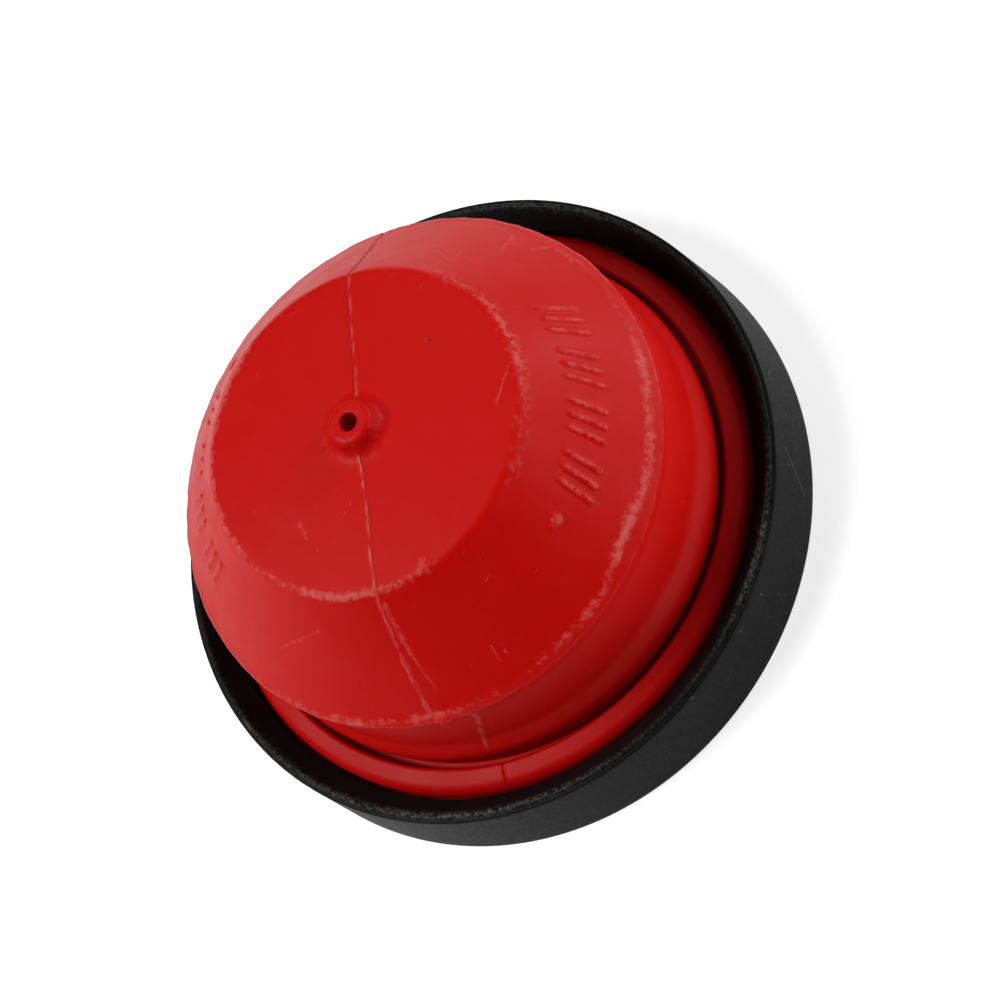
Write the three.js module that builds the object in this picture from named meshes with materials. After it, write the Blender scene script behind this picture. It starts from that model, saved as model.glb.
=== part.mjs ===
// A press bulb that primes a small engine: a hollow rubber bulb whose flange is trapped in a moulded ring.
// Millimetres, +Z up along the axis. The origin is the centre of the ring's back face.

import * as THREE from "three";

// Overall sizes
const skirtRadius = 17.3; // the bulb's wall above its bead
const skirtHeight = 9.05; // groove floor to shoulder edge
const coneHeight = 7.7; // shoulder edge to press face edge

// Fit of the rubber flange in the ring
const fitClearance = 0.3;

// Press face and nipple
const faceRadius = 10.9;
const faceEdgeRound = 0.9;
const faceCrown = 0.5; // rise of the face's middle above its edge
const nippleRadius = 1.55;
const nippleHeight = 1.2;
const nippleTipRound = 0.4;
const nippleRootRound = 0.55;
const ventRadius = 0.6;

// Shoulder, waist and bead
const shoulderOverhang = 0.1; // shoulder edge beyond the skirt
const shoulderRound = 0.3;
const waistInset = 0.45; // waist inside the skirt
const waistDrop = 1.5; // shoulder edge down to the waist
const waistRound = 1.6;
const skirtFootRound = 2.2; // where the skirt flares into the bead
const beadReach = 0.35; // bead beyond the skirt
const beadFootInset = 0.2; // bead's foot inside its widest line
const beadHeight = 3.1; // groove floor to the start of the flare
const beadTop = 1.75; // groove floor to the top of the bead's widest line
const beadRound = 0.85;

// Groove, collar and flange
const grooveWidth = 0.45;
const grooveDepth = 0.75;
const collarWidth = 1.65;
const collarFall = 0.45; // collar's outer edge below its inner edge
const collarInnerRound = 0.25;
const collarOuterRound = 0.9;
const collarRise = 1.8; // flange top to collar top
const flangeLedge = 0.95; // flange beyond the collar
const flangeThickness = 2.7;
const flangeRound = 0.25;

// Rubber thickness
const skirtWall = 1.6;
const coneWall = 1.7;
const faceWall = 1.8;
const innerRound = 1.2;

// Ring
const ringWall = 1.25; // at the back face, outside the pocket
const ringDraft = THREE.MathUtils.degToRad(3.2);
const ringBackRound = 0.2;
const ringLipWidth = 0.55;
const ringLipRound = 0.24;
const funnelDepth = 1.25; // lip top down to the mouth
const mouthEdgeHeight = 0.85;
const mouthRound = 0.12;
const snapRibReach = 0.3; // rib under the flange's edge
const snapRibHeight = 0.9; // back face to the top of the rib
const snapRibLand = 0.3;
const snapRibChamfer = 0.45;

// Facets
const turnSegments = 84;
const arcStep = THREE.MathUtils.degToRad(30);
const crownSteps = 4;

// Radii, worked out from the skirt to the ring's outside
const shoulderRadius = skirtRadius + shoulderOverhang;
const waistRadius = skirtRadius - waistInset;
const beadRadius = skirtRadius + beadReach;
const collarInnerRadius = beadRadius + grooveWidth;
const collarRadius = collarInnerRadius + collarWidth;
const flangeRadius = collarRadius + flangeLedge;
const pocketRadius = flangeRadius + fitClearance;
const mouthRadius = collarRadius + fitClearance;
const ringOuterRadius = pocketRadius + ringWall;
const snapRibRadius = flangeRadius - snapRibReach;

// Heights, worked out from the ring's back face up to the nipple's tip
const flangeBottom = snapRibHeight + fitClearance;
const flangeTop = flangeBottom + flangeThickness;
const collarTop = flangeTop + collarRise;
const grooveFloor = collarTop - grooveDepth;
const shoulderEdge = grooveFloor + skirtHeight;
const faceEdge = shoulderEdge + coneHeight;
const nippleTip = faceEdge + faceCrown + nippleHeight;
const mouthUnderside = flangeTop + fitClearance;
const mouthTop = mouthUnderside + mouthEdgeHeight;
const ringTop = mouthTop + funnelDepth;

// One corner of a section: its radius and height, and the radius that rounds it.
function corner(radius, height, round = 0) {
  return { at: new THREE.Vector2(radius, height), round };
}

// The points that stand for one corner: the corner itself, or the arc that is tangent to both its sides.
function cornerPoints(before, here, after) {
  if (here.round === 0) {
    return [here.at];
  }
  const toBefore = before.at.clone().sub(here.at);
  const toAfter = after.at.clone().sub(here.at);
  const shortSide = Math.min(toBefore.length(), toAfter.length());
  toBefore.normalize();
  toAfter.normalize();
  const halfAngle = Math.acos(THREE.MathUtils.clamp(toBefore.dot(toAfter), -1, 1)) / 2;
  const tangentLength = Math.min(here.round / Math.tan(halfAngle), shortSide * 0.49);
  const arcRadius = tangentLength * Math.tan(halfAngle);
  const toCentre = toBefore.clone().add(toAfter).normalize();
  const centre = here.at.clone().addScaledVector(toCentre, arcRadius / Math.sin(halfAngle));
  const start = here.at.clone().addScaledVector(toBefore, tangentLength).sub(centre);
  const turn = (2 * halfAngle - Math.PI) * Math.sign(toBefore.cross(toAfter));
  const steps = Math.ceil(Math.abs(turn) / arcStep);
  const points = [];
  for (let step = 0; step <= steps; step += 1) {
    const angle = turn * (step / steps);
    points.push(start.clone().rotateAround(new THREE.Vector2(), angle).add(centre));
  }
  return points;
}

// A closed section turned about the Z axis.
function turned(corners) {
  const count = corners.length;
  const points = corners.flatMap((here, index) =>
    cornerPoints(corners[(index + count - 1) % count], here, corners[(index + 1) % count])
  );
  points.push(points[0].clone());
  const geometry = new THREE.LatheGeometry(points, turnSegments);
  geometry.rotateX(Math.PI / 2);
  return geometry;
}

// Height of the shallow crown that the press face follows.
function crownHeight(radius) {
  const share = radius / faceRadius;
  return faceEdge + faceCrown * (1 - share * share);
}

// The crowned face as corners from one radius to another.
function crownCorners(fromRadius, toRadius, drop) {
  const corners = [];
  for (let step = 0; step <= crownSteps; step += 1) {
    const radius = THREE.MathUtils.lerp(fromRadius, toRadius, step / crownSteps);
    corners.push(corner(radius, crownHeight(radius) - drop));
  }
  return corners;
}

// The bulb's outside from the flange's underside up to the vent hole.
function bulbOutside() {
  const nippleRootRadius = nippleRadius + 2 * nippleRootRound;
  return [
    corner(flangeRadius, flangeBottom, flangeRound),
    corner(flangeRadius, flangeTop, flangeRound),
    corner(collarRadius, flangeTop),
    corner(collarRadius, collarTop - collarFall, collarOuterRound),
    corner(collarInnerRadius, collarTop, collarInnerRound),
    corner(collarInnerRadius, grooveFloor),
    corner(beadRadius - beadFootInset, grooveFloor),
    corner(beadRadius, grooveFloor + beadRound, beadRound),
    corner(beadRadius, grooveFloor + beadTop, beadRound),
    corner(skirtRadius, grooveFloor + beadHeight, skirtFootRound),
    corner(waistRadius, shoulderEdge - waistDrop, waistRound),
    corner(shoulderRadius, shoulderEdge, shoulderRound),
    corner(faceRadius, faceEdge, faceEdgeRound),
    ...crownCorners(nippleRootRadius, faceRadius - faceEdgeRound, 0).reverse(),
    corner(nippleRadius, crownHeight(nippleRadius), nippleRootRound),
    corner(nippleRadius, nippleTip, nippleTipRound),
    corner(ventRadius, nippleTip),
  ];
}

// The bulb's hollow from the vent hole down to the open back.
function bulbInside() {
  const ceiling = faceEdge - faceWall;
  const coneSlope = Math.atan2(coneHeight, shoulderRadius - faceRadius);
  const coneInset = coneWall / Math.sin(coneSlope);
  const insideRadius = waistRadius - skirtWall;
  const ceilingRadius = faceRadius - coneInset + faceWall / Math.tan(coneSlope);
  const coneFoot = faceEdge - (insideRadius - faceRadius + coneInset) * Math.tan(coneSlope);
  return [
    corner(ventRadius, crownHeight(ventRadius) - faceWall),
    ...crownCorners(nippleRadius, ceilingRadius - innerRound, faceWall),
    corner(ceilingRadius, ceiling, innerRound),
    corner(insideRadius, coneFoot, innerRound),
    corner(insideRadius, flangeBottom, flangeRound),
  ];
}

function makeBulb() {
  const rubber = new THREE.MeshStandardMaterial({ color: 0xbe1c19, roughness: 0.55, metalness: 0 });
  const mesh = new THREE.Mesh(turned([...bulbOutside(), ...bulbInside()]), rubber);
  mesh.name = "bulb";
  return mesh;
}

function makeRetainingRing() {
  const lipOuterRadius = ringOuterRadius - ringTop * Math.tan(ringDraft);
  const lipInnerRadius = lipOuterRadius - ringLipWidth;
  const section = [
    corner(snapRibRadius + snapRibChamfer, 0),
    corner(ringOuterRadius, 0, ringBackRound),
    corner(lipOuterRadius, ringTop, ringLipRound),
    corner(lipInnerRadius, ringTop, ringLipRound),
    corner(mouthRadius, mouthTop, mouthRound),
    corner(mouthRadius, mouthUnderside),
    corner(pocketRadius, mouthUnderside),
    corner(pocketRadius, snapRibHeight),
    corner(snapRibRadius, snapRibChamfer + snapRibLand),
    corner(snapRibRadius, snapRibChamfer),
  ];
  const plastic = new THREE.MeshStandardMaterial({ color: 0x1d1e1f, roughness: 0.6, metalness: 0 });
  const mesh = new THREE.Mesh(turned(section), plastic);
  mesh.name = "retaining_ring";
  return mesh;
}

const primerBulb = new THREE.Group();
primerBulb.add(makeBulb(), makeRetainingRing());

export default primerBulb;
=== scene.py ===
# A press bulb for priming a small engine, held in its moulded ring: the finished surfaces.
# Sizes are in millimetres up to the point where a mesh is made, and heights are above the ring's back face.

import math

import bpy
import numpy as np
from mathutils import Matrix, Vector, noise


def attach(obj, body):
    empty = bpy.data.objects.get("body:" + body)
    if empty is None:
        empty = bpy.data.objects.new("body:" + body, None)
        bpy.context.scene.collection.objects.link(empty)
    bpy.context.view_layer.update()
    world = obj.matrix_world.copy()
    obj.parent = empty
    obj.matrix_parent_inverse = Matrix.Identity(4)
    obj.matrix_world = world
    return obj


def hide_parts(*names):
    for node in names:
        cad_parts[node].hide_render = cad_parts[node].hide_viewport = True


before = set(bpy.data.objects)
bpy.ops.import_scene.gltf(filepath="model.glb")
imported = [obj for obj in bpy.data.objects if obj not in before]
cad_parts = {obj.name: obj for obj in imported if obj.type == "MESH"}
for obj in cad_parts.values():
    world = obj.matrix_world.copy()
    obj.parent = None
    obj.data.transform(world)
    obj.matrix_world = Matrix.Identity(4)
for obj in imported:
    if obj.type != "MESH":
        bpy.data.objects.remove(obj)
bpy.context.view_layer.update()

MM = 0.001

# The photograph's view: one image pixel at the part's distance, and the axis as the camera sees it
PIXEL = 22.25 * MM / 322.6
CAMERA_DISTANCE = 3000
PART_CENTRE = (9.2, 28.5)
AXIS_SEEN = (-0.434, -0.293, -0.852)

# The bulb's section. The bead, the groove and the nipple's foot are a little rounder and deeper than the
# frame's, and the rest is the same
SHOULDER_RADIUS = 17.4
SHOULDER_EDGE = 14.0
WAIST_RADIUS = 16.85
WAIST_DROP = 1.5
BEAD_FLANK_TOP = (17.12, 7.95)
BEAD_WIDEST = (17.78, 6.55)
BEAD_FOOT_RADIUS = 17.42
GROOVE_BOTTOM = 4.15
COLLAR_INNER_RADIUS = 18.1
COLLAR_RADIUS = 19.75
COLLAR_TOP = 5.7
COLLAR_FALL = 0.45
FLANGE_RADIUS = 20.7
FLANGE_BOTTOM = 1.2
FLANGE_TOP = 3.9
FLANGE_ROUND = 0.25
FACE_RADIUS = 10.9
FACE_EDGE = 21.7
FACE_EDGE_ROUND = 0.9
FACE_CROWN = 0.5
NIPPLE_RADIUS = 1.55
NIPPLE_FOOT_RADIUS = 1.9
NIPPLE_TIP_RADIUS = 1.43
NIPPLE_TIP = 23.4
VENT_RADIUS = 0.6
FACE_WALL = 1.8
CONE_WALL = 1.7
SKIRT_WALL = 1.6
INNER_ROUND = 1.2

# The ring's section, the same as the frame's but for a fine step along its lip
RING_RADIUS = 22.25
RING_TOP = 6.3
RING_DRAFT = math.radians(3.2)
RING_BACK_ROUND = 0.2
LIP_WIDTH = 0.55
LIP_STEP = 0.28
LIP_MIDDLE = (21.5, 6.25)
MOUTH_RADIUS = 20.05
MOUTH_TOP = 5.05
MOUTH_UNDERSIDE = 4.2
POCKET_RADIUS = 21.0
SNAP_RIB_RADIUS = 20.4
SNAP_RIB_TOP = 0.9
SNAP_RIB_LAND = 0.3
SNAP_RIB_CHAMFER = 0.45

# Columns of each grid: (start, end, step) in degrees where they lie close together, and the step elsewhere
BULB_ZONES = [(-176, -106, 0.5), (-49, -37, 0.25), (8, 78, 0.5), (129, 139, 0.35)]
BULB_STEP = 1.7
RING_ZONES = [(-75, 50, 0.35)]
RING_STEP = 0.6

# Two rows of raised marks on the cone, in mm along the slope and round it
MARK_ROWS = (17.0, -167.0)
MARK_ARC_RADIUS = 13.9
MARK_MIDDLE = 5.2
MARK_GROUPS = 4
MARK_PITCH = 3.6
MARK_HEIGHT = 0.13
RIB_PITCH = 0.95
RIB_LENGTH = 2.3
RIB_SLANT = 0.55
DOT_RADIUS = 0.4

# The mould seam: its lowest height, the collar's top on it, and its half widths below and above the shoulder
SEAM_FOOT = 4.6
SEAM_COLLAR_TOP = 5.75
SEAM_WALL_WIDTH = 0.12
SEAM_CONE_WIDTH = 0.085

# The torn flake at the shoulder, beside the seam
FLAKE_AZIMUTH = -45.8
FLAKE_WIDTH = 0.33

# Wear, bloom and painted highlights by azimuth in degrees, from 0 to 1. SHOULDER_WEAR_PLACE is how far up the cone
# the worn band lies, in mm
SHOULDER_WEAR = [
    (-175, 0.1), (-120, 0.15), (-85, 0.4), (-60, 0.6), (-47, 0.5), (-35, 0.25), (-20, 0.3), (-8, 0.6),
    (0, 0.5), (8, 0.95), (22, 1.0), (33, 0.8), (42, 0.6), (55, 0.75), (63, 0.5), (75, 0.45), (88, 0.4),
    (100, 0.1), (135, 0.1),
]
SHOULDER_WEAR_PLACE = [
    (-180, 0.3), (-72, 0.3), (-57, 0.5), (-30, 0.55), (-19, 0.75), (-8, 0.7), (0, 0.6), (5, 1.05), (18, 1.25),
    (22, 1.0), (30, 0.85), (36, 0.95), (54, 0.9), (63, 0.7), (74, 0.9), (82, 0.75), (87, 1.0), (100, 0.5),
]
RIM_WEAR = [
    (-180, 0.5), (-120, 0.5), (-90, 0.45), (-60, 0.35), (-30, 0.1), (0, 0.15), (40, 0.25), (60, 0.55),
    (80, 0.5), (110, 0.6), (150, 0.6),
]
FACE_WEAR = [
    (-178, 0.75), (-140, 0.8), (-100, 0.55), (-80, 0.5), (-70, 0.8), (-48, 0.85), (-40, 0.5), (-28, 0.6),
    (-20, 0.2), (0, 0.12), (30, 0.2), (60, 0.2), (90, 0.25), (130, 0.2), (165, 0.5),
]
FACE_PATCHES = [
    (-180, 0.0), (10, 0.0), (18, 0.5), (24, 0.2), (36, 0.4), (44, 0.3), (50, 0.9), (64, 1.0), (74, 0.8),
    (84, 0.6), (96, 0.6), (110, 0.3), (130, 0.0),
]
CONE_BLOOM = [
    (-175, 0.3), (-120, 0.2), (-80, 0.15), (-60, 0.08), (-47, 0.04), (-44.5, 0.0), (-20, 0.0), (0, 0.0),
    (20, 0.04), (40, 0.0), (60, 0.0), (80, 0.08), (95, 0.25), (110, 0.45), (134, 0.55), (160, 0.45),
]
# A painted highlight along the bead's flank, laid on in the bloom's colour
FLANK_PAINTED_HIGHLIGHT = [
    (-180, 0.0), (-25, 0.0), (-8, 0.25), (5, 0.5), (30, 0.5), (42, 0.25), (60, 0.0),
]
# Along the ring's lip: scuffing with a painted highlight on its edge, which also roughens the lip's surface
LIP_WEAR_AND_HIGHLIGHT = [
    (-180, 0.15), (-110, 0.15), (-100, 0.4), (-85, 0.5), (-70, 0.7), (-62, 1.0), (-50, 0.9), (-42, 0.6),
    (-32, 0.5), (-24, 0.25), (-8, 0.1), (8, 0.3), (14, 0.8), (24, 0.9), (32, 0.4), (45, 0.15), (90, 0.2),
    (105, 0.5), (120, 0.4), (140, 0.1),
]

# Single scuffs on the rubber: both ends as (azimuth, radius, height), and the half width
SCUFFS = [
    ((112.2, 13.33, 18.83), (103.0, 12.45, 19.86), 0.10),
    ((103.0, 12.45, 19.86), (104.2, 13.52, 18.60), 0.08),
    ((97.2, 14.68, 17.22), (100.5, 16.37, 15.23), 0.22),
    ((93.0, 15.88, 15.80), (91.2, 16.79, 14.73), 0.25),
    ((20.0, 11.35, 21.16), (19.8, 11.55, 20.93), 0.12),
    ((-60.0, 5.70, 22.11), (-56.2, 4.95, 22.13), 0.08),
    ((-87.0, 7.05, 22.05), (-80.0, 7.50, 22.02), 0.22),
    ((-80.0, 7.50, 22.02), (-71.2, 8.15, 21.99), 0.10),
    ((-25.0, 10.20, 21.79), (-28.5, 10.80, 21.71), 0.28),
    ((-84.0, 14.42, 17.52), (-69.8, 12.71, 19.55), 0.20),
    ((-44.4, 11.60, 20.90), (-44.2, 13.95, 18.05), 0.26),
    ((-46.6, 13.91, 18.14), (-46.4, 16.90, 14.60), 0.13),
    ((-44.2, 14.00, 18.02), (-42.6, 15.78, 15.92), 0.14),
    ((-25.5, 15.17, 16.64), (-25.8, 15.94, 15.72), 0.11),
    ((-23.2, 15.40, 16.38), (-23.5, 15.82, 15.88), 0.10),
    ((52.0, 10.60, 21.75), (39.0, 9.55, 21.88), 0.14),
]
DIRT = (83.5, 7.15, 22.04)

# Scuffs and nicks on the ring
RING_SCUFFS = [
    ((41.0, 22.00, 4.50), (34.5, 22.22, 1.40), 0.07),
    ((-6.2, 21.90, 5.90), (-6.0, 21.92, 5.75), 0.14),
    ((-101.5, 21.55, 6.30), (-103.5, 21.55, 6.30), 0.20),
    ((55.0, 21.99, 4.60), (56.0, 22.02, 4.20), 0.10),
]

# Soft lights: name, azimuth, elevation, distance and size in metres, and how bright their face is
LIGHTS = [
    ("left", -120, 55, 1.0, 0.5, 16.4),
    ("right_low", 80, 10, 1.0, 0.5, 9.2),
    ("right", 40, 10, 1.0, 0.5, 5.6),
    ("behind", 150, 55, 1.0, 0.5, 2.0),
    ("right_high", 80, 55, 1.0, 0.5, 1.2),
]

RUBBER_CLEAN = (0.47, 0.0014, 0.0008, 1)
# The bloom's colour, also laid along the bead's flank as a painted highlight
RUBBER_BLOOM_AND_HIGHLIGHT = (0.50, 0.018, 0.015, 1)
# The worn colour, also used for the painted highlight along the raised seam
RUBBER_WORN_AND_HIGHLIGHT = (0.56, 0.095, 0.080, 1)
# Painted shade for the collar, in the recess between the bulb's wall and the ring
RUBBER_PAINTED_SHADE = (0.39, 0.0012, 0.0007, 1)
# Painted shade along the seam: a dark line beside it on the face, and in its groove on the far side
RUBBER_SEAM_SHADE = (0.10, 0.003, 0.002, 1)
DIRT_COLOUR = (0.03, 0.015, 0.01, 1)
PLASTIC_DARK = (0.0032, 0.0034, 0.0036, 1)
PLASTIC_GREY = (0.0044, 0.0047, 0.0049, 1)
# The worn grey, also used for the painted highlight along the ring's lip
PLASTIC_WORN_AND_HIGHLIGHT = (0.085, 0.085, 0.080, 1)


# Sections and turned grids


def corner(radius, height, round_radius=0.0, step=0.5, turn_step=14):
    """One corner of a section. step is the longest stretch between rows on the side that follows it,
    and turn_step is how many degrees the section may turn between rows of its rounding."""
    return (np.array([radius, height], float), round_radius, step, math.radians(turn_step))


def section_points(corners):
    """The closed section's points, with each rounded corner as an arc tangent to both its sides."""
    stretches = []
    count = len(corners)
    for index, (here, round_radius, step, turn_step) in enumerate(corners):
        before = corners[index - 1][0] - here
        after = corners[(index + 1) % count][0] - here
        if round_radius == 0:
            stretches.append(([here], step))
            continue
        short_side = min(np.hypot(*before), np.hypot(*after))
        before = before / np.hypot(*before)
        after = after / np.hypot(*after)
        half_angle = math.acos(np.clip(before @ after, -1, 1)) / 2
        tangent = min(round_radius / math.tan(half_angle), short_side * 0.49)
        arc_radius = tangent * math.tan(half_angle)
        middle = (before + after) / np.hypot(*(before + after))
        centre = here + middle * (arc_radius / math.sin(half_angle))
        start = here + before * tangent - centre
        cross = before[0] * after[1] - before[1] * after[0]
        turn = (2 * half_angle - math.pi) * np.sign(cross)
        steps = max(2, math.ceil(abs(turn) / turn_step))
        arc = []
        for number in range(steps + 1):
            angle = turn * number / steps
            cos, sin = math.cos(angle), math.sin(angle)
            arc.append(centre + (start[0] * cos - start[1] * sin, start[0] * sin + start[1] * cos))
        stretches.append((arc, step))
    points = []
    for index, (arc, step) in enumerate(stretches):
        points.extend(arc)
        following = stretches[(index + 1) % count][0][0]
        gap = following - arc[-1]
        pieces = math.ceil(np.hypot(*gap) / step)
        points.extend(arc[-1] + gap * number / pieces for number in range(1, pieces))
    return np.array(points)


def section_normals(points):
    """Outward directions of a section that runs up the outside, over the top and down the inside."""
    along = np.roll(points, -1, axis=0) - np.roll(points, 1, axis=0)
    along /= np.hypot(along[:, 0], along[:, 1])[:, None]
    return np.stack([along[:, 1], -along[:, 0]], axis=1)


def zoned_columns(zones, plain_step):
    """Azimuths round the turn in degrees: each zone has its own step, and the rest has the plain one."""
    edges = sorted(zones)
    azimuths = []
    for index, (start, end, step) in enumerate(edges):
        azimuths.extend(np.arange(start, end, step))
        following = edges[(index + 1) % len(edges)][0] + (360 if index + 1 == len(edges) else 0)
        pieces = max(1, math.ceil((following - end) / plain_step))
        azimuths.extend(end + (following - end) * number / pieces for number in range(pieces))
    return np.radians(np.array(azimuths))


def turned_mesh(name, radius, height, azimuth):
    """A closed mesh from a grid of radii and heights: a row for each section point, a column for each azimuth."""
    rows, columns = radius.shape
    points = np.stack([radius * np.cos(azimuth), radius * np.sin(azimuth), height], axis=2).reshape(-1, 3) * MM
    row = np.arange(rows)[:, None]
    column = np.arange(columns)[None, :]
    next_row = (row + 1) % rows
    next_column = (column + 1) % columns
    quads = np.stack(
        [
            row * columns + column,
            row * columns + next_column,
            next_row * columns + next_column,
            next_row * columns + column,
        ],
        axis=2,
    ).reshape(-1, 4)
    mesh = bpy.data.meshes.new(name)
    mesh.from_pydata(points.tolist(), [], quads.tolist())
    mesh.validate()
    mesh.polygons.foreach_set("use_smooth", [True] * len(mesh.polygons))
    piece = bpy.data.objects.new(name, mesh)
    bpy.context.scene.collection.objects.link(piece)
    return piece


def store(piece, name, values):
    """Keeps one number for each vertex, for the materials to read."""
    attribute = piece.data.attributes.new(name, "FLOAT", "POINT")
    attribute.data.foreach_set("value", np.asarray(values, np.float32).ravel())


def noise_field(radius, height, azimuth, size, octaves=3, shift=0.0):
    """Smooth noise at each grid point, about -1 to 1, with features of the given size."""
    x = (radius * np.cos(azimuth) / size + shift).ravel()
    y = (radius * np.sin(azimuth) / size).ravel()
    z = (height / size).ravel()
    values = [noise.fractal((a, b, c), 0.7, 2.0, octaves) for a, b, c in zip(x, y, z)]
    return np.array(values).reshape(radius.shape)


def bell(distance, width):
    return np.exp(-((distance / width) ** 2))


def ramp(value, low, high):
    share = np.clip((value - low) / (high - low), 0, 1)
    return share * share * (3 - 2 * share)


# The rubber bulb


def crown_height(radius):
    return FACE_EDGE + FACE_CROWN * (1 - (radius / FACE_RADIUS) ** 2)


def up_cone(distance):
    """A place on the cone's outside, as its distance up the slope from the shoulder edge."""
    share = distance / math.hypot(SHOULDER_RADIUS - FACE_RADIUS, FACE_EDGE - SHOULDER_EDGE)
    return (
        SHOULDER_RADIUS + (FACE_RADIUS - SHOULDER_RADIUS) * share,
        SHOULDER_EDGE + (FACE_EDGE - SHOULDER_EDGE) * share,
    )


def bulb_section():
    """The bulb's section, up the outside from the flange to the vent hole and down the hollow."""
    crown = np.linspace(FACE_RADIUS - FACE_EDGE_ROUND, NIPPLE_RADIUS + 1.7, 5)
    inside = WAIST_RADIUS - SKIRT_WALL
    slope = math.atan2(FACE_EDGE - SHOULDER_EDGE, SHOULDER_RADIUS - FACE_RADIUS)
    inset = CONE_WALL / math.sin(slope)
    ceiling_radius = FACE_RADIUS - inset + FACE_WALL / math.tan(slope)
    cone_foot = FACE_EDGE - (inside - FACE_RADIUS + inset) * math.tan(slope)
    inner_crown = np.linspace(NIPPLE_RADIUS, ceiling_radius - INNER_ROUND, 5)
    return [
        corner(FLANGE_RADIUS, FLANGE_BOTTOM, FLANGE_ROUND, 3.0, 45),
        corner(FLANGE_RADIUS, FLANGE_TOP, FLANGE_ROUND, 1.0, 45),
        corner(COLLAR_RADIUS, FLANGE_TOP, 0, 0.5),
        corner(COLLAR_RADIUS, COLLAR_TOP - COLLAR_FALL, 0.9, 0.3, 9),
        corner(COLLAR_INNER_RADIUS, COLLAR_TOP, 0.25, 0.3, 18),
        corner(COLLAR_INNER_RADIUS, GROOVE_BOTTOM, 0.1, 0.6, 45),
        corner(BEAD_FOOT_RADIUS, GROOVE_BOTTOM, 0.1, 0.3, 45),
        corner(*BEAD_WIDEST, 1.5, 0.3, 4),
        corner(*BEAD_FLANK_TOP, 1.6, 0.5, 4),
        corner(WAIST_RADIUS, SHOULDER_EDGE - WAIST_DROP, 1.6, 0.4, 7),
        corner(SHOULDER_RADIUS, SHOULDER_EDGE, 0.22, 0.17, 16),
        corner(*up_cone(1.8), 0, 0.5),
        corner(*up_cone(3.8), 0, 0.15),
        corner(*up_cone(6.6), 0, 0.5),
        corner(FACE_RADIUS, FACE_EDGE, FACE_EDGE_ROUND, 0.3, 6),
        *(corner(radius, crown_height(radius), 0, 0.7) for radius in crown),
        corner(NIPPLE_FOOT_RADIUS, crown_height(NIPPLE_RADIUS), 1.0, 0.2, 8),
        corner(NIPPLE_TIP_RADIUS, NIPPLE_TIP, 0.55, 0.2, 10),
        corner(VENT_RADIUS, NIPPLE_TIP, 0.12, 0.7, 30),
        corner(VENT_RADIUS, crown_height(VENT_RADIUS) - FACE_WALL, 0, 1.0),
        *(corner(radius, crown_height(radius) - FACE_WALL, 0, 3.0) for radius in inner_crown),
        corner(ceiling_radius, FACE_EDGE - FACE_WALL, INNER_ROUND, 3.0, 20),
        corner(inside, cone_foot, INNER_ROUND, 4.0, 20),
        corner(inside, FLANGE_BOTTOM, FLANGE_ROUND, 4.0, 45),
    ]


def by_azimuth(degrees, table):
    """A value that goes smoothly round the turn through (azimuth in degrees, value) pairs."""
    places, values = zip(*sorted(table))
    return np.interp(degrees, places, values, period=360)


def seam_place(radius, height, near_side):
    """Azimuth of the mould seam in degrees, at each point, on the near side or on the far side."""
    if not near_side:
        on_face = np.interp(radius, [2.0, 6.0, 9.0], [129.5, 133.0, 133.8])
        return np.where(height > FACE_EDGE, on_face, np.interp(height, [5.0, 14.0, 21.7], [137.0, 137.0, 133.8]))
    on_wall = np.interp(height, [5.3, 7.0, 8.6, 11.7, 13.9], [-44.5, -45.8, -44.2, -40.2, -39.8])
    on_cone = np.interp(height, [14.1, 15.1, 18.1, 21.0, 21.7], [-46.0, -47.0, -46.8, -45.6, -45.0])
    on_face = np.interp(radius, [2.9, 5.3, 8.2, 10.8], [-44.2, -43.8, -44.8, -45.0])
    return np.where(height < SHOULDER_EDGE, on_wall, np.where(height < FACE_EDGE, on_cone, on_face))


def rib_distance(across, up, start, end):
    """Distance from each point to a straight rib between two places on the unrolled cone."""
    start, end = np.array(start), np.array(end)
    along = end - start
    share = np.clip(((across - start[0]) * along[0] + (up - start[1]) * along[1]) / (along @ along), 0, 1)
    return np.hypot(across - start[0] - share * along[0], up - start[1] - share * along[1])


def raised_marks(degrees, up):
    """Plain slanting ribs in threes with a round dot at the end of each row, 0 to 1."""
    marks = np.zeros_like(up)
    for row_start in MARK_ROWS:
        across = ((degrees - row_start + 180) % 360 - 180) * math.radians(MARK_ARC_RADIUS)
        across = np.broadcast_to(across, up.shape)
        for group in range(MARK_GROUPS):
            for rib in range(3):
                foot = (group * MARK_PITCH + rib * RIB_PITCH, MARK_MIDDLE - RIB_LENGTH / 2)
                top = (foot[0] + RIB_SLANT, MARK_MIDDLE + RIB_LENGTH / 2)
                marks = np.maximum(marks, 1 - ramp(rib_distance(across, up, foot, top), 0.08, 0.26))
        dot = np.hypot(across + 1.9, up - MARK_MIDDLE - 0.5)
        marks = np.maximum(marks, 1 - ramp(dot, DOT_RADIUS - 0.10, DOT_RADIUS + 0.08))
    return marks


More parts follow.
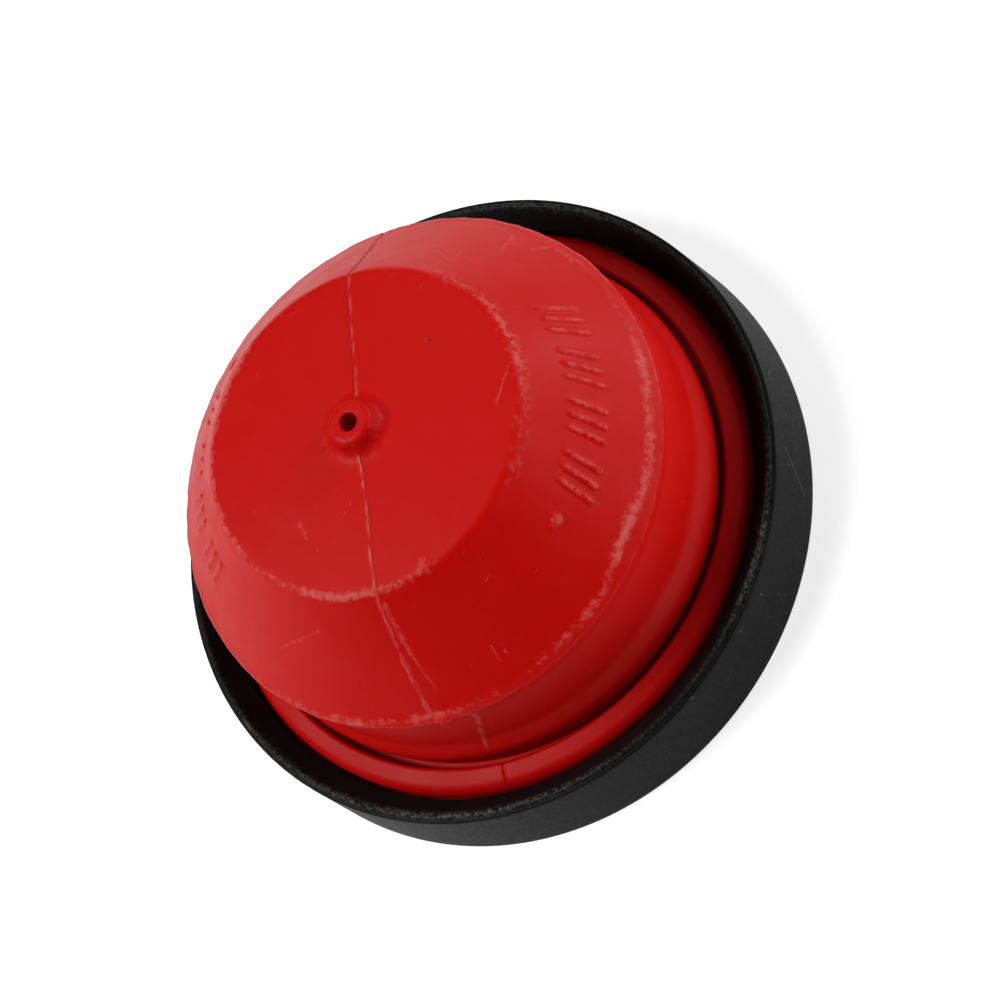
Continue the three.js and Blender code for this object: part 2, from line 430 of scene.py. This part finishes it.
def seam_lines(radius, height, degrees, outside, wander):
    """How far the mould seam lifts the surface in mm, and how much painted highlight and painted shade it gets,
    from 0 to 1.

    It stands proud with a painted highlight along it, and painted shade makes a dark line beside it on the face.
    On the collar, and all the way down the far side below the face, it is a fine groove instead, painted dark as
    shade below the face on the far side."""
    lift, seam, painted_seam_shade = (np.zeros(radius.shape) for _ in range(3))
    on_face = height > FACE_EDGE + 0.02
    seen = outside & (height > SEAM_FOOT) & (radius > NIPPLE_RADIUS + 0.5)
    width = np.where(height < SHOULDER_EDGE, SEAM_WALL_WIDTH, SEAM_CONE_WIDTH)
    for near_side in (True, False):
        away = (degrees - seam_place(radius, height, near_side) + 180) % 360 - 180
        across = np.radians(away) * radius + 0.12 * wander
        line = np.where(seen, bell(across, width), 0)
        # Painted shade: a dark line beside the seam on the face, and the whole groove below the face on the far
        # side
        groove = np.where(on_face & seen, bell(across - 0.14, 0.07), 0) * 0.7
        if near_side:
            proud = np.where(height < SHOULDER_EDGE - 0.2, 0.07, 0.035)
            proud = np.where(height < SEAM_COLLAR_TOP, -0.12, proud)
            pale = np.where(on_face, 1.0, np.where(height > SEAM_COLLAR_TOP, 0.6, 0.0))
        else:
            proud = np.where(height < FACE_EDGE, -0.16, 0.03)
            pale = np.where(on_face, 0.6, 0.0)
            groove = np.where(height < FACE_EDGE, line, groove)
        lift = lift + proud * line * (0.75 + 0.5 * wander)
        # The seam's pale line is a painted highlight
        seam = np.maximum(seam, pale * line * ramp(wander, -0.5, 0.05))
        painted_seam_shade = np.maximum(painted_seam_shade, groove * ramp(wander, -0.6, 0.0))
    return lift, seam, painted_seam_shade


def make_bulb():
    points = section_points(bulb_section())
    normals = section_normals(points)
    azimuth = zoned_columns(BULB_ZONES, BULB_STEP)[None, :]
    degrees = (np.degrees(azimuth) + 180) % 360 - 180
    shape = (len(points), azimuth.size)
    radius = np.broadcast_to(points[:, :1], shape)
    height = np.broadcast_to(points[:, 1:], shape)
    out = np.broadcast_to(normals[:, :1], shape)
    rise = np.broadcast_to(normals[:, 1:], shape)
    outside = (np.arange(len(points)) < np.argmax(points[:, 0] < VENT_RADIUS + 0.001))[:, None]

    # up is the distance up the cone from the shoulder edge, and off is the distance from the cone's surface
    slope = np.array([SHOULDER_RADIUS - FACE_RADIUS, FACE_EDGE - SHOULDER_EDGE])
    slope_length = np.hypot(*slope)
    up = ((SHOULDER_RADIUS - radius) * slope[0] + (height - SHOULDER_EDGE) * slope[1]) / slope_length
    off = ((SHOULDER_RADIUS - radius) * slope[1] - (height - SHOULDER_EDGE) * slope[0]) / slope_length
    on_cone = outside & (np.abs(off) < 0.35) & (up > -0.1) & (up < slope_length + 0.2)

    fine = noise_field(radius, height, azimuth, 1.1, 4)
    broad = noise_field(radius, height, azimuth, 5.0, 3, 7.0)

    # Slightly uneven rubber above the collar
    lift = np.where(outside & (height > 6), 0.035 * broad + 0.006 * fine, 0.0)

    # The mould seam, with a painted highlight along it and painted shade beside and in it
    wander = noise_field(radius, height, azimuth * 0, 0.9, 3, 3.0)
    seam_lift, seam, painted_seam_shade = seam_lines(radius, height, degrees, outside, wander)
    lift = lift + seam_lift

    # Raised marks
    marks = np.where(on_cone, raised_marks(degrees, up), 0)
    lift = lift + MARK_HEIGHT * marks

    # A thin brim of flash at the shoulder, with the torn flake
    brim = np.hypot(radius - SHOULDER_RADIUS, height - SHOULDER_EDGE)
    ragged = noise_field(radius * 0 + SHOULDER_RADIUS, height * 0, azimuth, 1.3, 4, 11.0)
    reach = np.clip(0.01 + 0.06 * ragged, -0.05, 0.06)
    flake = bell(np.radians(degrees - FLAKE_AZIMUTH) * SHOULDER_RADIUS - 0.35, FLAKE_WIDTH)
    sideways = np.where(outside, bell(brim, 0.28) * (reach + 0.25 * flake), 0)
    droop = np.where(outside, 0.12 * bell(brim, 0.2) * flake, 0)

    # Chips and a low ridge along the worn band above the shoulder, and lumps on the nipple
    chips = by_azimuth(degrees, SHOULDER_WEAR) * ramp(-fine, 0.05, 0.5)
    band = by_azimuth(degrees, SHOULDER_WEAR_PLACE)
    lift = lift - np.where(on_cone, 0.035 * chips * bell(up - band, 0.35), 0)
    lift = lift + np.where(on_cone, 0.03 * bell(up - band, 0.22), 0)
    lift = lift + np.where(outside, 0.035 * fine * ramp(3.0 - radius, 0.0, 0.8), 0)

    radius_now = radius + lift * out + sideways
    height_now = np.minimum(height + lift * rise - droop, NIPPLE_TIP)
    piece = turned_mesh("rubber_bulb", radius_now, height_now, azimuth)

    # Where the skin is worn pale, where it has a milky bloom, and a painted highlight in the bloom's colour along
    # the bead's flank
    edge_gap = np.abs(np.hypot(radius - FACE_RADIUS, height - FACE_EDGE))
    face_wear = by_azimuth(degrees, FACE_WEAR) * bell(edge_gap, 0.34) * outside
    patch = by_azimuth(degrees, FACE_PATCHES) * bell(up - slope_length + 0.55, 0.32) * on_cone
    shoulder_wear = by_azimuth(degrees, SHOULDER_WEAR) * bell(up - band, 0.40) * on_cone
    rim_wear = by_azimuth(degrees, RIM_WEAR) * bell(brim, 0.22) * outside
    mark_wear = 0.55 * ramp(marks, 0.5, 1.0)
    bloom_and_highlight = np.where(on_cone, by_azimuth(degrees, CONE_BLOOM), 0.0)
    bloom_and_highlight = np.where(outside & (height > FACE_EDGE - 0.05), 0.06, bloom_and_highlight)
    bloom_and_highlight = np.where(on_cone & (up < 0.9), np.maximum(bloom_and_highlight, 0.06), bloom_and_highlight)
    # A painted highlight along the bead's flank, carried with the bloom
    flank_highlight_band = np.where(outside & (radius > 16.9), bell(height - 7.5, 0.7), 0)
    bloom_and_highlight = np.maximum(bloom_and_highlight, by_azimuth(degrees, FLANK_PAINTED_HIGHLIGHT) * flank_highlight_band)
    store(piece, "wear", np.maximum.reduce([face_wear, shoulder_wear, rim_wear]))
    store(piece, "patches", patch)
    store(piece, "marks", mark_wear)
    store(piece, "bloom_and_highlight", bloom_and_highlight)
    store(piece, "seam", seam)
    store(piece, "painted_seam_shade", painted_seam_shade)
    # The collar, which the material darkens with painted shade
    store(piece, "collar", outside & (radius > COLLAR_INNER_RADIUS - 0.15) & (height < COLLAR_TOP + 0.1))
    return piece


# The moulded ring


def ring_section():
    """The ring's section, up the outside, over the lip, down the funnel and the pocket to the snap rib."""
    lip_outer = RING_RADIUS - RING_TOP * math.tan(RING_DRAFT)
    lip_inner = lip_outer - LIP_WIDTH
    return [
        corner(SNAP_RIB_RADIUS + SNAP_RIB_CHAMFER, 0, 0, 0.6),
        corner(RING_RADIUS, 0, RING_BACK_ROUND, 0.4),
        corner(lip_outer + 0.01, RING_TOP - 0.2, 0.14, 0.1),
        corner(lip_outer - LIP_STEP + 0.02, RING_TOP - 0.16, 0, 0.1),
        corner(lip_outer - LIP_STEP, RING_TOP, 0.09, 0.1),
        corner(lip_inner, RING_TOP, 0.22, 0.2),
        corner(MOUTH_RADIUS, MOUTH_TOP, 0.12, 0.3),
        corner(MOUTH_RADIUS, MOUTH_UNDERSIDE, 0, 0.6),
        corner(POCKET_RADIUS, MOUTH_UNDERSIDE, 0, 1.2),
        corner(POCKET_RADIUS, SNAP_RIB_TOP, 0, 0.4),
        corner(SNAP_RIB_RADIUS, SNAP_RIB_CHAMFER + SNAP_RIB_LAND, 0, 0.4),
        corner(SNAP_RIB_RADIUS, SNAP_RIB_CHAMFER, 0, 0.4),
    ]


def make_ring():
    points = section_points(ring_section())
    normals = section_normals(points)
    azimuth = zoned_columns(RING_ZONES, RING_STEP)[None, :]
    degrees = (np.degrees(azimuth) + 180) % 360 - 180
    shape = (len(points), azimuth.size)
    radius = np.broadcast_to(points[:, :1], shape)
    height = np.broadcast_to(points[:, 1:], shape)
    lip = bell(np.hypot(radius - LIP_MIDDLE[0], height - LIP_MIDDLE[1]), 0.5)
    fine = noise_field(radius, height, azimuth, 0.7, 4)
    rough = by_azimuth(degrees, LIP_WEAR_AND_HIGHLIGHT)
    lift = lip * (0.03 * rough * fine) + np.where(height > 5.2, 0.003 * fine, 0)
    # Lumps stand out a little less than pits go in
    lift = lift - 0.03 * np.maximum(lift, 0)
    radius_now = np.minimum(radius + lift * normals[:, :1], RING_RADIUS)
    height_now = np.minimum(height + lift * normals[:, 1:], RING_TOP + 0.03)
    piece = turned_mesh("moulded_ring", radius_now, height_now, azimuth)
    # Pale spots along the lip: scuffing, and a painted highlight on the lip's edge
    store(piece, "wear", rough * bell(np.hypot(radius - LIP_MIDDLE[0] + 0.05, height - RING_TOP), 0.28))
    return piece


# Materials


class Nodes:
    """A short way to write one material's nodes. Lengths are in millimetres."""

    def __init__(self, name):
        self.material = bpy.data.materials.new(name)
        self.material.use_nodes = True
        self.tree = self.material.node_tree
        self.shader = self.tree.nodes["Principled BSDF"]
        self.place = self.vector("SCALE", self.add("ShaderNodeTexCoord").outputs["Object"], scale=1 / MM)

    def add(self, kind, **settings):
        node = self.tree.nodes.new(kind)
        for name, value in settings.items():
            setattr(node, name, value)
        return node

    def link(self, source, target):
        if isinstance(source, bpy.types.NodeSocket):
            self.tree.links.new(source, target)
        else:
            target.default_value = source

    def kept(self, name):
        """A number stored on the mesh."""
        return self.add("ShaderNodeAttribute", attribute_name=name).outputs["Fac"]

    def maths(self, operation, a, b=0.0, clamp=False):
        node = self.add("ShaderNodeMath", operation=operation, use_clamp=clamp)
        self.link(a, node.inputs[0])
        self.link(b, node.inputs[1])
        return node.outputs[0]

    def vector(self, operation, a, b=None, c=None, scale=None):
        node = self.add("ShaderNodeVectorMath", operation=operation)
        for source, socket in zip((a, b, c), node.inputs):
            if source is not None:
                self.link(source, socket)
        if scale is not None:
            node.inputs["Scale"].default_value = scale
        return node.outputs["Value" if operation in ("DOT_PRODUCT", "DISTANCE") else "Vector"]

    def span(self, value, low, high, to_low=0.0, to_high=1.0):
        node = self.add("ShaderNodeMapRange", interpolation_type="SMOOTHSTEP")
        for socket, number in zip(node.inputs, (value, low, high, to_low, to_high)):
            self.link(number, socket)
        return node.outputs[0]

    def mix(self, share, a, b):
        node = self.add("ShaderNodeMix", data_type="RGBA")
        self.link(share, node.inputs[0])
        self.link(a, node.inputs[6])
        self.link(b, node.inputs[7])
        return node.outputs[2]

    def noise(self, size, detail=3.0, roughness=0.55, place=None):
        node = self.add("ShaderNodeTexNoise")
        self.link(self.place if place is None else place, node.inputs["Vector"])
        node.inputs["Scale"].default_value = 1 / size
        node.inputs["Detail"].default_value = detail
        node.inputs["Roughness"].default_value = roughness
        return node.outputs["Fac"]

    def cloud(self, size):
        """Noise as a colour, to push a place about."""
        node = self.add("ShaderNodeTexNoise")
        self.link(self.place, node.inputs["Vector"])
        node.inputs["Scale"].default_value = 1 / size
        node.inputs["Detail"].default_value = 1.0
        return node.outputs["Color"]

    def streaks(self, width, length, turn, low, high):
        """Short fine scratches that all lie about one way: 1 in a scratch and 0 elsewhere."""
        node = self.add("ShaderNodeMapping")
        self.link(self.place, node.inputs["Vector"])
        node.inputs["Rotation"].default_value = [math.radians(angle) for angle in turn]
        node.inputs["Scale"].default_value = (1 / width, 1 / length, 1 / length)
        texture = self.noise(1.0, 1.0, 0.5, node.outputs["Vector"])
        return self.span(texture, low, high)

    def strokes(self, lines, place):
        """Single scratches and scuffs: each is two ends and a half width, as a soft line from 1 to 0."""
        total = 0.0
        for start, end, width in lines:
            start, end = Vector(start), Vector(end)
            along = end - start
            share = self.vector("DOT_PRODUCT", self.vector("SUBTRACT", place, start), along / along.length_squared)
            share = self.maths("MULTIPLY", share, 1.0, clamp=True)
            nearest = self.vector("MULTIPLY_ADD", share, along, start)
            line = self.span(self.vector("DISTANCE", place, nearest), width * 0.3, width, 1.0, 0.0)
            total = line if total == 0.0 else self.maths("MAXIMUM", total, line)
        return total

    def bump(self, height, depth, normal=None):
        node = self.add("ShaderNodeBump")
        node.inputs["Strength"].default_value = 1.0
        node.inputs["Distance"].default_value = depth * MM
        self.link(height, node.inputs["Height"])
        if normal is not None:
            self.link(normal, node.inputs["Normal"])
        return node.outputs["Normal"]


def colour(red, green, blue):
    return (red, green, blue, 1.0)


def on_turn(azimuth, radius, height):
    """A place given by its azimuth in degrees, radius and height."""
    return (radius * math.cos(math.radians(azimuth)), radius * math.sin(math.radians(azimuth)), height)


def rubber_material():
    nodes = Nodes("bulb_rubber")
    shader = nodes.shader
    bloom_and_highlight, wear, patches, marks, seam, painted_seam_shade, collar = (
        nodes.kept(name) for name in ("bloom_and_highlight", "wear", "patches", "marks", "seam", "painted_seam_shade", "collar")
    )
    broad = nodes.noise(3.5, 4.0)
    fine = nodes.noise(0.45, 4.0, 0.6)
    grain = nodes.noise(0.16, 3.0, 0.6)

    # A milky bloom lies over the clean red in soft clouds, and along the bead's flank its colour is a painted
    # highlight. The collar is darkened with painted shade
    bloom_and_highlight = nodes.maths("MULTIPLY", bloom_and_highlight, nodes.span(broad, 0.25, 0.62, 0.55, 1.35), clamp=True)
    skin = nodes.mix(bloom_and_highlight, RUBBER_CLEAN, RUBBER_BLOOM_AND_HIGHLIGHT)
    skin = nodes.mix(nodes.maths("MULTIPLY", collar, 0.9), skin, RUBBER_PAINTED_SHADE)

    # Edges are worn pale in broken spots, the patches under the face's edge only where the noise is high,
    # and the raised seam has a painted highlight in short stretches
    broken = nodes.maths("ADD", nodes.maths("MULTIPLY", broad, 0.4), nodes.maths("MULTIPLY", fine, 0.6))
    wear_and_highlight = nodes.maths("ADD", wear, nodes.span(broken, 0.3, 0.7, -0.5, 0.5))
    wear_and_highlight = nodes.maths("MULTIPLY", nodes.span(wear_and_highlight, 0.2, 1.15, 0.0, 0.85), nodes.span(wear, 0.02, 0.3))
    spots = nodes.maths("MULTIPLY", patches, nodes.span(fine, 0.46, 0.60), clamp=True)
    crests = nodes.maths("MULTIPLY", marks, nodes.span(fine, 0.38, 0.62), clamp=True)
    wear_and_highlight = nodes.maths("MAXIMUM", nodes.maths("MAXIMUM", wear_and_highlight, spots), crests)
    wear_and_highlight = nodes.maths("MAXIMUM", wear_and_highlight, nodes.maths("MULTIPLY", seam, nodes.span(fine, 0.3, 0.55, 0.4, 1.0)))

    # Fine scratches in two directions, sparse, with single scuffs, painted shade along the seam and a speck of
    # dirt
    sparse = nodes.span(nodes.noise(2.2, 2.0), 0.52, 0.70, 0.0, 0.7)
    scratch = nodes.maths("MAXIMUM", nodes.streaks(0.10, 1.6, (20, 35, 25), 0.70, 0.80),
                          nodes.streaks(0.09, 1.3, (-30, 15, -50), 0.71, 0.81))
    scratch = nodes.maths("MULTIPLY", scratch, sparse)
    wobble = nodes.vector("SCALE", nodes.vector("SUBTRACT", nodes.cloud(0.6), (0.5, 0.5, 0.5)), scale=0.35)
    place = nodes.vector("ADD", nodes.place, wobble)
    scuffs = nodes.strokes([(on_turn(*a), on_turn(*b), width) for a, b, width in SCUFFS], place)
    scuffs = nodes.maths("MULTIPLY", scuffs, nodes.span(fine, 0.36, 0.58, 0.15, 0.9))
    scraped = nodes.maths("MULTIPLY", nodes.maths("MAXIMUM", scratch, scuffs), 0.4)
    pale = nodes.maths("MAXIMUM", wear_and_highlight, scraped, clamp=True)
    surface = nodes.mix(pale, skin, RUBBER_WORN_AND_HIGHLIGHT)
    surface = nodes.mix(nodes.maths("MULTIPLY", painted_seam_shade, 0.7), surface, RUBBER_SEAM_SHADE)
    dirt = nodes.strokes([(on_turn(*DIRT), on_turn(DIRT[0] + 1.2, DIRT[1], DIRT[2]), 0.16)], nodes.place)
    nodes.link(nodes.mix(nodes.maths("MULTIPLY", dirt, 0.85), surface, DIRT_COLOUR), shader.inputs["Base Color"])

    rough = nodes.maths("ADD", nodes.span(broad, 0.3, 0.7, 0.42, 0.52), nodes.maths("MULTIPLY", pale, 0.12))
    nodes.link(rough, shader.inputs["Roughness"])
    shader.inputs["Specular IOR Level"].default_value = 0.09
    normal = nodes.bump(broad, 0.05)
    normal = nodes.bump(fine, 0.012, normal)
    normal = nodes.bump(grain, 0.003, normal)
    nodes.link(nodes.bump(nodes.maths("SUBTRACT", 1.0, scratch), 0.012, normal), shader.inputs["Normal"])
    return nodes.material


def plastic_material():
    nodes = Nodes("ring_plastic")
    shader = nodes.shader
    wear = nodes.kept("wear")
    broad = nodes.noise(2.5, 4.0)
    fine = nodes.noise(0.3, 4.0, 0.65)
    skin = nodes.mix(nodes.span(broad, 0.3, 0.7), PLASTIC_DARK, PLASTIC_GREY)
    # Pale in broken spots along the lip: scuffing, and a painted highlight on its edge
    wear_and_highlight = nodes.maths("MULTIPLY", wear, nodes.span(fine, 0.40, 0.62), clamp=True)
    scuffs = nodes.strokes([(on_turn(*a), on_turn(*b), width) for a, b, width in RING_SCUFFS], nodes.place)
    scratch = nodes.maths("MULTIPLY", nodes.streaks(0.07, 1.4, (15, -20, 40), 0.70, 0.78),
                          nodes.span(nodes.noise(2.0, 2.0), 0.5, 0.66))
    pale = nodes.maths("MAXIMUM", wear_and_highlight, nodes.maths("MULTIPLY", nodes.maths("MAXIMUM", scuffs, scratch), 0.5))
    nodes.link(nodes.mix(pale, skin, PLASTIC_WORN_AND_HIGHLIGHT), shader.inputs["Base Color"])
    nodes.link(nodes.span(fine, 0.3, 0.7, 0.46, 0.56), shader.inputs["Roughness"])
    shader.inputs["Specular IOR Level"].default_value = 0.05
    normal = nodes.bump(broad, 0.015)
    normal = nodes.bump(fine, 0.006, normal)
    nodes.link(nodes.bump(nodes.noise(0.09, 3.0), 0.003, normal), shader.inputs["Normal"])
    return nodes.material


def floor_material():
    nodes = Nodes("floor_paper")
    nodes.shader.inputs["Base Color"].default_value = colour(0.45, 0.45, 0.45)
    nodes.shader.inputs["Emission Color"].default_value = colour(1, 1, 1)
    # The paper glows a little round the part, and not in the dark under it
    flat = nodes.vector("MULTIPLY", nodes.place, (1, 1, 0))
    away = nodes.vector("DISTANCE", flat, (0, 0, 0))
    nodes.link(nodes.span(away, RING_RADIUS - 1, RING_RADIUS, 0.0, 0.72), nodes.shader.inputs["Emission Strength"])
    nodes.shader.inputs["Roughness"].default_value = 0.9
    nodes.shader.inputs["Specular IOR Level"].default_value = 0.1
    return nodes.material


# Floor, light and camera


def make_floor():
    half = 8.0
    mesh = bpy.data.meshes.new("floor")
    mesh.from_pydata([(-half, -half, 0), (half, -half, 0), (half, half, 0), (-half, half, 0)], [], [(0, 1, 2, 3)])
    floor = bpy.data.objects.new("floor", mesh)
    bpy.context.scene.collection.objects.link(floor)
    mesh.materials.append(floor_material())


def direction(azimuth, elevation):
    a, e = math.radians(azimuth), math.radians(elevation)
    return Vector((math.cos(a) * math.cos(e), math.sin(a) * math.cos(e), math.sin(e)))


def soft_light(name, azimuth, elevation, distance, size, radiance):
    """A round soft light that faces the part. radiance is how bright its surface looks."""
    data = bpy.data.lights.new(name, "AREA")
    data.shape = "DISK"
    data.size = size
    data.energy = radiance * math.pi * math.pi * (size / 2) ** 2
    light = bpy.data.objects.new(name, data)
    light.location = Vector((0, 0, 0.01)) + direction(azimuth, elevation) * distance
    light.rotation_mode = "QUATERNION"
    light.rotation_quaternion = direction(azimuth, elevation).to_track_quat("Z", "Y")
    bpy.context.scene.collection.objects.link(light)


def make_light():
    world = bpy.data.worlds.new("studio")
    world.use_nodes = True
    background = world.node_tree.nodes["Background"]
    background.inputs["Color"].default_value = colour(1, 1, 1)
    background.inputs["Strength"].default_value = 0.9
    world.cycles_visibility.diffuse = False
    world.cycles_visibility.glossy = False
    bpy.context.scene.world = world
    for light in LIGHTS:
        soft_light(*light)
    bpy.context.scene.view_settings.view_transform = "Standard"


def make_camera():
    axis = Vector(AXIS_SEEN).normalized()
    across = axis.cross(axis.cross(Vector((0, 0, 1))).normalized())
    third = axis.cross(across)
    turn = Matrix((across, third, axis)).transposed()
    centre = Vector((*PART_CENTRE, CAMERA_DISTANCE)) * PIXEL
    part_in_view = Matrix.Translation(centre) @ turn.to_4x4()
    data = bpy.data.cameras.new("camera")
    data.sensor_width = 36
    data.lens = 36 * CAMERA_DISTANCE / 1000
    data.clip_end = 30
    camera = bpy.data.objects.new("camera", data)
    camera.matrix_world = (Matrix.Diagonal((1, -1, -1, 1)) @ part_in_view).inverted()
    bpy.context.scene.collection.objects.link(camera)
    bpy.context.scene.camera = camera


make_camera()
make_light()
make_floor()

bulb = make_bulb()
bulb.data.materials.append(rubber_material())
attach(bulb, "root")
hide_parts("bulb")

ring = make_ring()
ring.data.materials.append(plastic_material())
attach(ring, "root")
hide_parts("retaining_ring")
